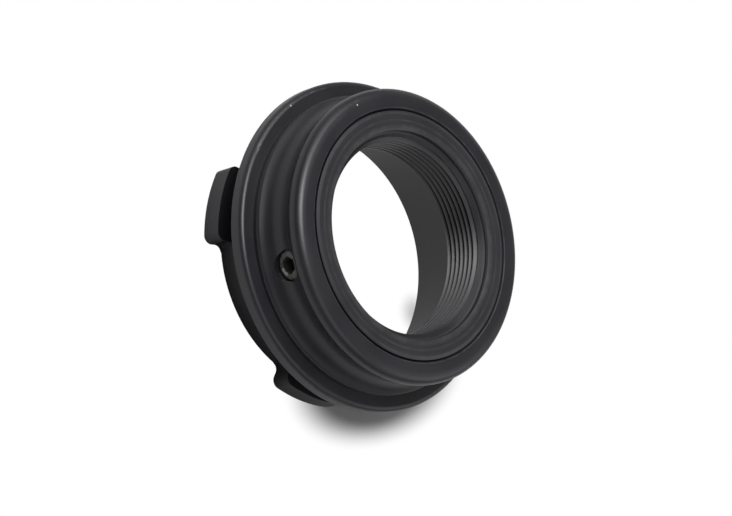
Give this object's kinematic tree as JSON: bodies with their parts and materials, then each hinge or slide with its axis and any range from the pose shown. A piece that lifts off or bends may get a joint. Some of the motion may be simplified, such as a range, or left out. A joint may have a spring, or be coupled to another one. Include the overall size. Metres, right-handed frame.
{
  "type": "lens adapter ring",
  "caption": "Short black metal ring with bayonet lugs at its rear end and a threaded insert in its front, held by radial set screws.",
  "frame": {"origin": "on the ring's axis, in the plane of its rear end, which it stands on", "axes": "+Z along the ring's axis, from the bayonet's rear end to the threaded front face; -Y points at one of the set screws; +X completes a right-handed frame"},
  "size_m": [0.0428, 0.0428, 0.017],
  "materials": {
    "black_anodised": "black anodised, satin",
    "black_anodised_insert": "black anodised, satin, finely turned",
    "screw_steel": "dark steel, worn bright at the socket's edges"
  },
  "bodies": {
    "body": {"adapter_body": "black_anodised"},
    "insert": {"threaded_insert": "black_anodised_insert"},
    "screw_front": {"set_screw_front": "screw_steel"},
    "screw_right": {"set_screw_right": "screw_steel"},
    "screw_left": {"set_screw_left": "screw_steel"}
  },
  "joints": [
    {"name": "insert_turn", "type": "hinge", "parent": "body", "child": "insert", "pos_m": [0, 0, 0.0136], "axis": [0, 0, 1], "continuous": true},
    {"name": "screw_front_slide", "type": "slide", "parent": "body", "child": "screw_front", "axis": [0, -1, 0], "range_m": [0, 0.0012]},
    {"name": "screw_right_slide", "type": "slide", "parent": "body", "child": "screw_right", "axis": [0.866, 0.5, 0], "range_m": [0, 0.0012]},
    {"name": "screw_left_slide", "type": "slide", "parent": "body", "child": "screw_left", "axis": [-0.866, 0.5, 0], "range_m": [0, 0.0012]}
  ]
}
